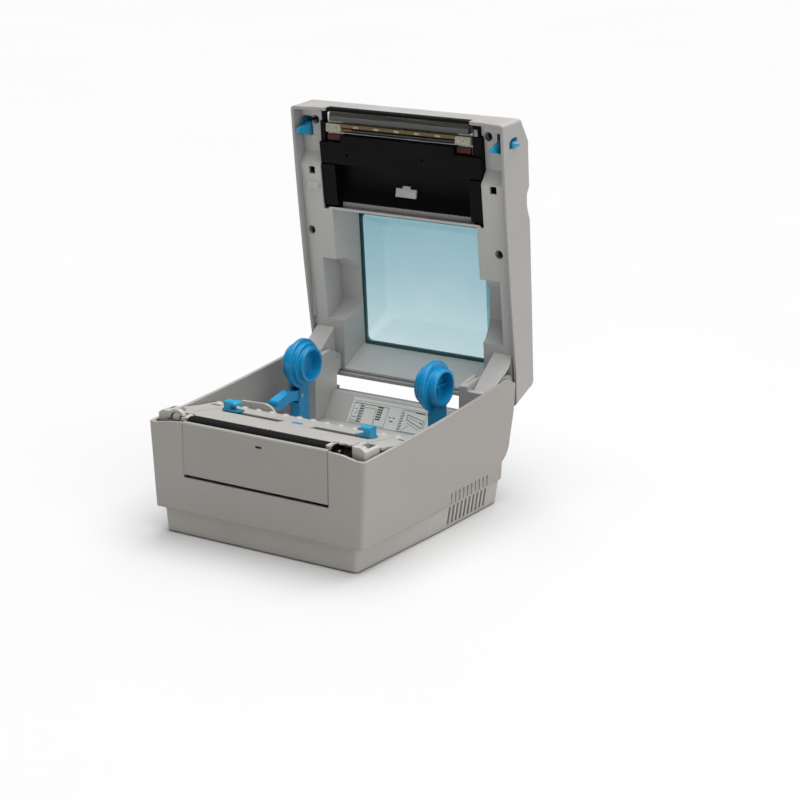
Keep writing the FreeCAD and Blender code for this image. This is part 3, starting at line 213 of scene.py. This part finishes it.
def metal(name, col, rough=0.28, brush=(1.0, 60.0, 60.0), scale=60.0, dark=0.75, aniso=0.0):
    """Brushed or plated metal: long fine scratches along one axis, faint stains."""
    m = Mat(name)
    m.edge(0.0002)
    lines = m.noise(scale, 4.0, 0.65, m.stretch(brush))
    stain = m.noise(55.0, 4.0, 0.6)
    base = m.ramp(stain, [(0.32, tint(col, dark)), (0.62, col)])
    base = m.mix(m.span(lines, 0.35, 0.7, 0.0, 0.35), base, tint(col, 1.12))
    m.set(Base_Color=base, Metallic=1.0)
    m.set(Roughness=m.span(lines, 0.3, 0.7, rough * 0.75, rough * 1.4))
    m.set(Normal=m.bump(lines, 0.00003, 0.5), Anisotropic=aniso)
    return m.m


GREY = srgb(163, 159, 154)
mats = {
    "housing_grey": moulded("housing_abs", GREY, 0.46, 0.02, crevice_shade=0.35, edge=0.0009),
    "lid_grey": moulded("lid_abs", srgb(171, 168, 165), 0.45, 0.02, crevice_shade=0.35, edge=0.0009),
    "blue_plastic": moulded("blue_abs", srgb(20, 150, 207), 0.30, 0.05, 1900.0, 0.00002, crevice_shade=0.3),
    "black_plastic": moulded("black_abs", srgb(5, 5, 5), 0.5, 0.10, 1700.0, 0.00004, spec=0.10),
    "steel": metal("plated_steel", (0.60, 0.60, 0.60), 0.3),
    "head_aluminium": metal("milled_aluminium", (0.72, 0.73, 0.74), 0.34),
    "acetal_white": moulded("acetal", srgb(228, 226, 219), 0.34, 0.03, 2200.0, 0.00001, crevice_shade=0.3),
    "motor_dark": metal("motor_case", (0.10, 0.10, 0.11), 0.42),
    "brass": metal("cut_brass", (0.78, 0.58, 0.26), 0.3),
    "button_grey": moulded("button_abs", srgb(150, 150, 149), 0.42, 0.03),
    "pad_red": moulded("red_pad", srgb(76, 20, 22), 0.6, 0.12, 900.0, 0.00006),
}


def rubber(name, col, rough, grind, spec=0.4):
    m = Mat(name)
    m.set(Specular_IOR_Level=spec)
    rub = m.noise(700.0, 3.0, 0.6)
    ring = m.noise(260.0, 4.0, 0.7, m.stretch((6.0, 0.6, 0.6)))
    dust = m.noise(40.0, 4.0, 0.6)
    base = m.ramp(dust, [(0.35, col), (0.75, tint(col, 1.5))])
    m.set(Base_Color=m.mix(m.span(rub, 0.5, 0.8, 0.0, 0.35), base, tint(col, 1.9)))
    m.set(Roughness=m.span(dust, 0.3, 0.7, rough - 0.08, rough + 0.1))
    n = m.bump(rub, 0.00005, 0.5)
    m.set(Normal=m.bump(ring, 0.00005, grind, n))
    return m.m


mats["platen_rubber"] = rubber("platen_rubber", srgb(11, 11, 11), 0.66, 0.6, 0.12)
mats["foot_rubber"] = rubber("foot_rubber", srgb(34, 34, 35), 0.75, 0.2)


def window():
    """Clear tinted sheet: it lets light straight through, tinted, and mirrors a little at a glancing look."""
    m = Mat("window_tint")
    sep = m.add("ShaderNodeSeparateXYZ")
    m.link(m.co, sep.inputs["Vector"])
    film = m.noise(9.0, 3.0, 0.5)
    # painted light: the see-through tint is clearer low on the window and deeper towards its top, standing for the
    # brighter light through its lower part
    tone = m.math('ADD', m.span(sep.outputs["Z"], 0.10, 0.225, 0.0, 0.8), m.span(film, 0.3, 0.7, -0.08, 0.08))
    see = m.ramp(tone, [(0.0, srgb(232, 243, 245)), (0.4, srgb(208, 227, 232)), (1.0, srgb(180, 209, 215))])
    clear = m.add("ShaderNodeBsdfTransparent")
    m.link(see, clear.inputs["Color"])
    smear = m.noise(30.0, 4.0, 0.6, m.stretch((1.0, 1.0, 0.35)))
    m.set(Base_Color=m.ramp(film, [(0.3, srgb(96, 168, 180)), (0.7, srgb(112, 182, 192))]))
    m.set(Roughness=m.span(smear, 0.35, 0.7, 0.03, 0.10), IOR=1.45)
    m.set(Normal=m.bump(m.noise(24.0, 2.0, 0.5), 0.0002, 0.06))
    rim = m.add("ShaderNodeLayerWeight")
    rim.inputs["Blend"].default_value = 0.35
    mixs = m.add("ShaderNodeMixShader")
    m.link(m.span(rim.outputs["Facing"], 0.15, 1.0, 0.06, 0.34), mixs.inputs["Fac"])
    m.link(clear.outputs["BSDF"], mixs.inputs[1])
    m.link(m.b.outputs["BSDF"], mixs.inputs[2])
    m.link(mixs.outputs["Shader"], m.out.inputs["Surface"])
    return m.m


mats["window_tint"] = window()


def ceramic():
    """Glazed substrate: bright along its upper edge, darker towards the heater line, faint drawn streaks."""
    m = Mat("head_ceramic")
    lines = m.noise(34.0, 4.0, 0.62, m.stretch((0.7, 26.0, 26.0)))
    sep = m.add("ShaderNodeSeparateXYZ")
    m.link(m.co, sep.inputs["Vector"])
    tone = m.math('ADD', m.span(sep.outputs["Z"], 0.2968, 0.3052, 0.0, 1.0), m.span(lines, 0.3, 0.7, -0.14, 0.14))
    base = m.ramp(tone, [(0.0, srgb(70, 70, 68)), (0.42, srgb(82, 82, 80)), (0.70, srgb(112, 112, 109)), (0.90, srgb(140, 140, 136)), (1.0, srgb(176, 176, 172))])
    m.set(Base_Color=base, Metallic=0.30, Roughness=m.span(lines, 0.3, 0.7, 0.22, 0.36))
    m.set(Normal=m.bump(lines, 0.00002, 0.3))
    return m.m


mats["head_ceramic"] = ceramic()


def gold():
    m = Mat("driver_gold")
    n = m.noise(240.0, 3.0, 0.6)
    comb = m.add("ShaderNodeTexWave", wave_type='BANDS', bands_direction='X', wave_profile='SIN')
    comb.inputs["Scale"].default_value = 420.0
    comb.inputs["Distortion"].default_value = 0.0
    m.link(m.co, comb.inputs["Vector"])
    base = m.mix(m.span(comb.outputs["Fac"], 0.4, 0.6, 0.0, 0.55), srgb(114, 94, 58), srgb(62, 46, 29))
    base = m.mix(m.span(n, 0.5, 0.8, 0.0, 0.5), base, srgb(142, 124, 88))
    m.set(Base_Color=base, Metallic=0.55, Roughness=m.span(n, 0.3, 0.7, 0.22, 0.42))
    m.set(Normal=m.bump(comb.outputs["Fac"], 0.00004, 0.4))
    return m.m


mats["driver_gold"] = gold()


def lens(name, col, glow=0.0):
    m = Mat(name)
    n = m.noise(200.0, 2.0, 0.5)
    m.set(Base_Color=m.ramp(n, [(0.3, tint(col, 0.85)), (0.7, tint(col, 1.15))]))
    m.set(Roughness=m.span(n, 0.3, 0.7, 0.08, 0.2), Transmission_Weight=0.25, IOR=1.49, Coat_Weight=0.4, Coat_Roughness=0.08)
    m.set(Normal=m.bump(m.noise(500.0, 2.0, 0.5), 0.00001, 0.4))
    return m.m


mats["sensor_blue"] = lens("sensor_lens", srgb(100, 168, 222))
mats["status_lens"] = lens("status_lens_green", srgb(120, 190, 128))


def board():
    m = Mat("board_green")
    n = m.noise(260.0, 3.0, 0.5)
    tr = m.add("ShaderNodeTexBrick")
    tr.inputs["Scale"].default_value = 120.0
    tr.inputs["Color1"].default_value = (*srgb(24, 92, 52), 1)
    tr.inputs["Color2"].default_value = (*srgb(18, 78, 44), 1)
    tr.inputs["Mortar"].default_value = (*srgb(40, 120, 66), 1)
    m.link(m.co, tr.inputs["Vector"])
    m.set(Base_Color=tr.outputs["Color"], Roughness=m.span(n, 0.3, 0.7, 0.28, 0.5), Normal=m.bump(n, 0.00003, 0.4))
    return m.m


mats["board_green"] = board()


def paper():
    m = Mat("label_paper")
    fib = m.noise(900.0, 4.0, 0.7, m.stretch((1.0, 0.4, 0.4)))
    tone = m.noise(20.0, 3.0, 0.5)
    m.set(Base_Color=m.ramp(tone, [(0.3, srgb(216, 215, 209)), (0.7, srgb(226, 225, 220))]))
    m.set(Roughness=m.span(fib, 0.3, 0.7, 0.5, 0.68), Normal=m.bump(fib, 0.00002, 0.5))
    return m.m


mats["label_paper"] = paper()



def tinplate():
    """Thin plated sheet, dull, with a few handling marks."""
    m = Mat("tin_plate")
    m.edge(0.0003)
    n = m.noise(60.0, 4.0, 0.6, m.stretch((1.0, 5.0, 5.0)))
    m.set(Base_Color=m.ramp(n, [(0.3, srgb(196, 197, 194)), (0.7, srgb(216, 217, 213))]))
    m.set(Metallic=0.3, Roughness=m.span(n, 0.3, 0.7, 0.32, 0.5), Normal=m.bump(n, 0.00002, 0.4))
    return m.m


def mottled(name, col, scale=520.0):
    """Cloth-backed tape: blotched and slightly fibrous."""
    m = Mat(name)
    m.edge(0.0003)
    blot = m.noise(scale, 3.0, 0.65)
    fib = m.noise(scale * 3.0, 2.0, 0.6, m.stretch((1.0, 0.4, 0.4)))
    base = m.ramp(blot, [(0.33, tint(col, 0.42)), (0.46, col), (0.64, tint(col, 1.25))])
    m.set(Base_Color=m.mix(m.span(fib, 0.5, 0.8, 0.0, 0.4), base, tint(col, 0.6)))
    m.set(Roughness=m.span(fib, 0.3, 0.7, 0.5, 0.7), Normal=m.bump(blot, 0.0001, 0.5))
    return m.m


# pieces with a material of their own: the housing-grey copies are lighter or darker than their slot to stand for how
# light falls on each (painted light and shade); the blue, tape, screw and tin finishes differ in colour
blue_pale = moulded("blue_abs_pale", srgb(36, 158, 200), 0.34, 0.05, 1900.0, 0.00002, crevice_shade=0.3)
per_piece = {
    # the well's copy is painted lighter to stand for the light that fills the bay
    "media_well": moulded("well_abs_lightened", srgb(190, 188, 184), 0.48, 0.02, crevice_shade=0.3, edge=0.0009),
    "paper_deck": moulded("deck_abs", srgb(174, 171, 166), 0.44, 0.02, crevice_shade=0.35, edge=0.0009),
    "latch_keepers": moulded("keeper_abs", srgb(182, 178, 172), 0.44, 0.02, crevice_shade=0.35, edge=0.0009),
    "lid_frame": moulded("frame_abs", srgb(194, 193, 190), 0.46, 0.02, crevice_shade=0.35, edge=0.0009),
    "base_tray": moulded("tray_abs", srgb(183, 179, 173), 0.48, 0.02, crevice_shade=0.35, edge=0.0009),
    "front_panel": moulded("panel_abs", srgb(157, 154, 148), 0.46, 0.02, crevice_shade=0.35, edge=0.0009),
    "platen_bushes": moulded("bush_acetal", srgb(190, 187, 180), 0.36, 0.03, 2200.0, 0.00001, crevice_shade=0.3),
    "head_clips": mottled("clip_tape", srgb(176, 170, 152)),
    "lid_screws": metal("black_screw", (0.05, 0.05, 0.05), 0.4),
    "sensor_cover": tinplate(),
    "left_paper_guide": blue_pale, "right_paper_guide": blue_pale, "left_latch": blue_pale, "right_latch": blue_pale,
}

slot_of = {s["node"]: s["material_slot"] for s in frame["record"]["subparts"]}
for name, ob in N.items():
    mat = per_piece.get(name, mats[slot_of[name]])
    ob.data.materials.clear()
    ob.data.materials.append(mat)


# ---------------------------------------------------------------- small pieces
OPEN = math.radians(86.3)
HY, HZ = 0.211 + SHIFT, 0.096


def base_pt(x, y, z):
    """Layout millimetres (y = 0 at the front of the base) to the row frame."""
    return Vector((x / 1000.0, y / 1000.0 + SHIFT, z / 1000.0))


def lid_pt(x, y, z):
    """The same for what is laid out on the closed lid, which stands open in the row frame."""
    p = base_pt(x, y, z)
    dy, dz = p.y - HY, p.z - HZ
    return Vector((p.x, HY + math.cos(OPEN) * dy + math.sin(OPEN) * dz, HZ - math.sin(OPEN) * dy + math.cos(OPEN) * dz))


SLOPE = Vector((0.0, 0.5812, 0.8137))
SLOPE_OUT = Vector((0.0, -0.8137, 0.5812))


def slope_pt(u, v, o):
    """On the bay's rear slope: u across, v up the slope, o off its face."""
    p = Vector((u, 190.5, 47.0)) + SLOPE * v + SLOPE_OUT * o
    return base_pt(*p)


def blk(x0, x1, y0, y1, z0, z1):
    return ([(x0, y0, z0), (x1, y0, z0), (x1, y1, z0), (x0, y1, z0)], [(x0, y0, z1), (x1, y0, z1), (x1, y1, z1), (x0, y1, z1)])


def prism(prof, x0, x1):
    return ([(x0, y, z) for y, z in prof], [(x1, y, z) for y, z in prof])


def stroke(u0, v0, u1, v1, w, o0=0.20, o1=0.31):
    """A printed line on the slope, as a thin closed film."""
    d = Vector((u1 - u0, v1 - v0)).normalized() * (w / 2)
    n = Vector((-d.y, d.x))
    q = [(u0 - d.x - n.x, v0 - d.y - n.y), (u1 + d.x - n.x, v1 + d.y - n.y), (u1 + d.x + n.x, v1 + d.y + n.y), (u0 - d.x + n.x, v0 - d.y + n.y)]
    return ([(u, v, o0) for u, v in q], [(u, v, o1) for u, v in q])


def piece(name, solids, place, body, mat, soft=0.0):
    """One mesh of closed prisms, riding a body."""
    bm = bmesh.new()
    for lo, hi in solids:
        a = [bm.verts.new(place(*q)) for q in lo]
        b = [bm.verts.new(place(*q)) for q in hi]
        n = len(a)
        bm.faces.new(a[::-1])
        bm.faces.new(b)
        for i in range(n):
            bm.faces.new((a[i], a[(i + 1) % n], b[(i + 1) % n], b[i]))
    bmesh.ops.recalc_face_normals(bm, faces=bm.faces[:])
    if soft > 0:
        bmesh.ops.bevel(bm, geom=bm.edges[:], offset=soft / 1000.0, segments=2, profile=0.5, affect='EDGES', clamp_overlap=True)
    me = bpy.data.meshes.new(name)
    bm.to_mesh(me)
    bm.free()
    ob = bpy.data.objects.new(name, me)
    scene.collection.objects.link(ob)
    me.materials.append(mat)
    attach(ob, body)
    return ob


def ink(name, col):
    m = Mat(name)
    n = m.noise(700.0, 3.0, 0.6)
    m.set(Base_Color=m.ramp(n, [(0.3, tint(col, 0.8)), (0.7, tint(col, 1.35))]))
    m.set(Roughness=m.span(n, 0.3, 0.7, 0.42, 0.6), Normal=m.bump(n, 0.00001, 0.3))
    return m.m


ink_dark = ink("ink_dark", srgb(66, 70, 69))
ink_mid = ink("ink_mid", srgb(112, 116, 112))
ink_rust = ink("ink_rust", srgb(186, 150, 140))

# loading pictograms on the slope label: an open machine seen from above, and one with the web drawn out
dark, mid = [], []
for u0, u1, v0, v1 in ((-44.7, -10.9, 1.6, 18.9), (2.4, 26.4, 1.2, 19.6)):
    mid += [stroke(u0, v0, u1, v0, 0.4), stroke(u1, v0, u1, v1, 0.4), stroke(u1, v1, u0, v1, 0.5), stroke(u0, v1, u0, v0, 0.4)]
for k in range(7):
    v = 3.0 + 2.3 * k
    dark += [stroke(-37.6 + 0.5 * (k % 2), v, -35.4, v, 1.25), stroke(3.4, v - 0.4, 4.4 + 0.5 * (k % 2), v + 0.5, 0.9)]
for k in range(6):
    v = 7.6 + 2.1 * k
    dark += [stroke(-20.6, v, -17.4 + 0.6 * (k % 2), v, 1.2)]
dark += [stroke(-37.9, 1.9, -37.9, 18.6, 0.45), stroke(-16.6, 6.9, -16.6, 18.8, 0.45), stroke(-44.4, 18.9, -21.8, 18.9, 0.6),
         stroke(-21.6, 2.0, -21.6, 6.2, 0.5), stroke(15.0, 19.2, 24.0, 18.7, 0.8)]
mid += [stroke(-34.6, 16.1, -22.4, 16.1, 0.4), stroke(-34.2, 2.2, -34.2, 15.8, 0.35), stroke(-22.6, 6.0, -22.6, 15.8, 0.35),
        stroke(-43.2, 3.2, -39.4, 3.2, 0.6), stroke(-43.2, 6.4, -39.4, 6.4, 0.6), stroke(-41.2, 9.4, -39.4, 11.6, 0.5), stroke(-42.6, 13.6, -40.0, 13.6, 0.5)]
dark += [stroke(-7.9, 11.1, -7.1, 11.1, 0.9), stroke(-4.1, 11.1, -3.3, 11.1, 0.9), stroke(-6.7, 7.9, -4.1, 7.9, 0.9)]
dark += [stroke(8.3, 16.2, 25.1, 12.8, 0.5), stroke(8.9, 11.9, 24.5, 6.5, 0.6), stroke(8.3, 16.2, 8.9, 11.9, 0.45), stroke(25.1, 12.8, 24.5, 6.5, 0.45)]
mid += [stroke(10.6, 14.0, 22.6, 10.8, 0.4), stroke(22.0, 10.9, 23.4, 10.6, 1.3), stroke(9.4, 9.4, 21.8, 4.9, 0.4), stroke(6.4, 2.2, 12.0, 7.2, 0.4)]
piece("label_print_dark", dark, slope_pt, "base", ink_dark)
piece("label_print_mid", mid, slope_pt, "base", ink_mid)
piece("label_print_rule", [stroke(-45.6, 20.9, 42.6, 20.9, 0.5)], slope_pt, "base", ink_rust)

# print head: epoxy over the driver leads, its bright edge strip, pale dashes on the gold strip
epoxy = moulded("head_epoxy", srgb(20, 18, 17), 0.28, 0.12, 1200.0, 0.00003, coat=0.3)
piece("head_epoxy", [prism([(15.7, 101.1), (15.7, 99.8), (16.5, 99.1), (18.0, 99.1), (18.8, 99.8), (18.8, 101.1)], -56.0, 51.0)],
      lid_pt, "printhead", epoxy, 0.25)
piece("head_edge_strip", [blk(-55.9, 50.9, 19.15, 19.75, 99.3, 101.1)], lid_pt, "printhead", mats["steel"], 0.1)
piece("head_pale_dashes", [prism([(12.7, 97.78), (12.7, 97.45), (14.6, 97.45), (14.6, 97.78)], x - 2.5, x + 2.5) for x in (-41.9, -22.5, -3.2, 16.2, 35.6)],
      lid_pt, "printhead", per_piece["head_clips"], 0.1)
# webs of the lid frame: behind the serrated lip, and beside the well below each hinge lug
web = [(206.6, 105.75), (225.4, 105.45), (224.6, 107.8), (206.6, 108.05)]
piece("lid_frame_webs", [prism([(77.3, 104.7), (84.4, 104.7), (84.4, 106.8), (77.3, 106.8)], -62.6, 62.6), prism(web, 69.6, 77.6), prism(web, -77.6, -69.6)],
      lid_pt, "lid", per_piece["lid_frame"], 0.15)
# small pale grey plate in the bracket's right-hand corner
piece("head_grey_plate", [blk(68.5, 71.9, 5.6, 11.0, 97.85, 98.6)], lid_pt, "lid", mats["button_grey"], 0.2)
copper = metal("lead_copper", (0.32, 0.11, 0.07), 0.4)
piece("head_lead_foil", [prism([(16.0, 99.3), (16.0, 98.85), (17.7, 98.85), (17.7, 99.3)], -55.6, -47.2)], lid_pt, "printhead", copper, 0.1)


# ---------------------------------------------------------------- stage and light
def sun(name, toward, power, spread, col=(1, 1, 1)):
    """A wide bank of light, far enough away to fall evenly on the whole stage."""
    d = bpy.data.lights.new(name, 'SUN')
    d.energy, d.color, d.angle = power, col, math.radians(spread)
    o = bpy.data.objects.new(name, d)
    scene.collection.objects.link(o)
    o.rotation_euler = Vector(toward).to_track_quat('Z', 'Y').to_euler()
    return o


bm = bmesh.new()
bmesh.ops.create_grid(bm, x_segments=8, y_segments=8, size=6.0)
floor_mesh = bpy.data.meshes.new("floor")
bm.to_mesh(floor_mesh)
bm.free()
floor = bpy.data.objects.new("floor", floor_mesh)
scene.collection.objects.link(floor)
fm = Mat("floor_paper")
fn = fm.noise(3.0, 3.0, 0.5)
fm.set(Base_Color=fm.ramp(fn, [(0.3, (0.635, 0.635, 0.635)), (0.7, (0.645, 0.645, 0.645))]), Roughness=0.85, Specular_IOR_Level=0.2)
floor.data.materials.append(fm.m)

world = bpy.data.worlds.new("studio")
world.use_nodes = True
wt = world.node_tree
wt.nodes.clear()
wo = wt.nodes.new("ShaderNodeOutputWorld")
bg = wt.nodes.new("ShaderNodeBackground")
bg.inputs["Color"].default_value = (0.97, 0.985, 1.0, 1)
bg.inputs["Strength"].default_value = 0.03
cambg = wt.nodes.new("ShaderNodeBackground")
cambg.inputs["Color"].default_value = (1.0, 1.0, 1.0, 1)
cambg.inputs["Strength"].default_value = 1.0
lp = wt.nodes.new("ShaderNodeLightPath")
mx = wt.nodes.new("ShaderNodeMixShader")
wt.links.new(lp.outputs["Is Camera Ray"], mx.inputs["Fac"])
wt.links.new(bg.outputs["Background"], mx.inputs[1])
wt.links.new(cambg.outputs["Background"], mx.inputs[2])
wt.links.new(mx.outputs["Shader"], wo.inputs["Surface"])
scene.world = world

sun("top_bank", (0.10, 0.0, 1.0), 3.27, 70.0)
sun("rear_bank", (-0.10, 0.60, 1.0), 1.52, 55.0)
sun("right_bank", (1.0, -0.20, 0.30), 0.76, 60.0)
